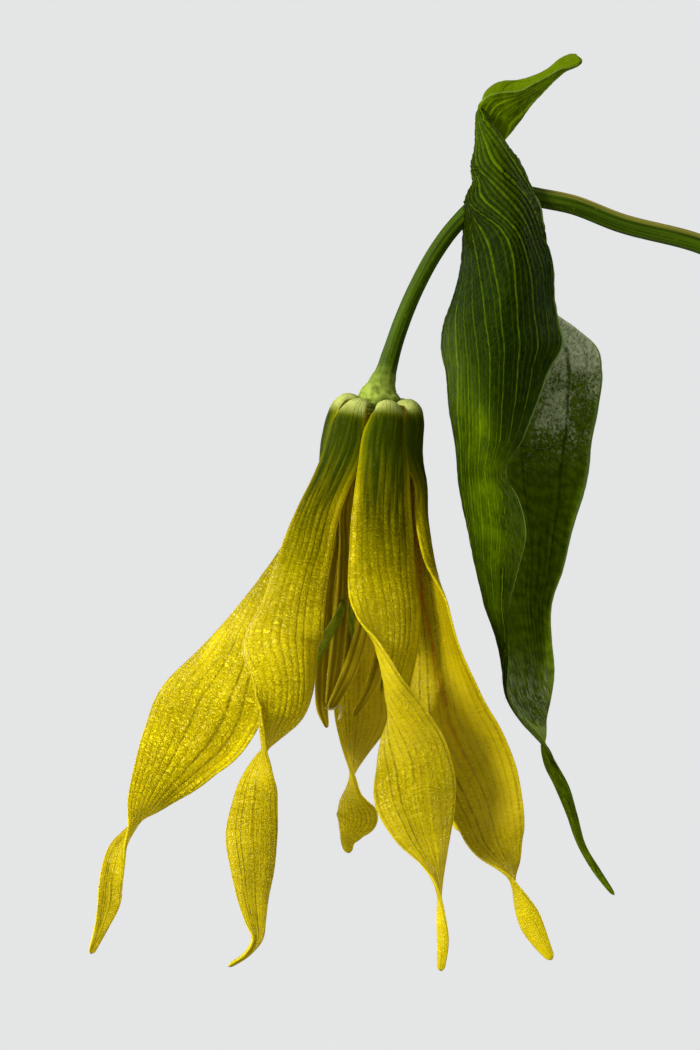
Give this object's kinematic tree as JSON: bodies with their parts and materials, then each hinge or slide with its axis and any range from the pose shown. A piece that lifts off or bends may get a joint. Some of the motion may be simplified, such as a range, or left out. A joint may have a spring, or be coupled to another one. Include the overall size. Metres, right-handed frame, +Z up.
{
  "type": "bellwort in bottle",
  "caption": "Nodding yellow flower with twisted tepals and a folded green leaf on an arching cut stem, standing in a plain round clear glass bottle of water.",
  "frame": {"origin": "centre of the bottle's flat base, on the surface it stands on", "axes": "+Z up along the bottle's axis; the stem arches over towards -X, where the leaf and the flower hang; -Y is the side that faces the viewer"},
  "size_m": [0.1075, 0.05, 0.1623],
  "materials": {
    "glass": "clear, smooth and glossy",
    "water": "clear liquid",
    "stem": "smooth living stem, satin",
    "leaf": "living leaf, satin, with raised parallel veins",
    "tepal": "living petal, finely puckered, satin",
    "stamen": "powdery with pollen",
    "pistil": "living tissue, satin"
  },
  "bodies": {
    "root": {"bottle": "glass", "water": "water", "stem": "stem", "leaf": "leaf", "tepal_front": "tepal", "tepal_front_left": "tepal", "tepal_left": "tepal", "tepal_right": "tepal", "tepal_back": "tepal", "tepal_back_right": "tepal", "stamen_left": "stamen", "stamen_mid_left": "stamen", "stamen_front": "stamen", "stamen_right": "stamen", "stamen_back_right": "stamen", "stamen_back": "stamen", "pistil": "pistil"}
  },
  "joints": []
}
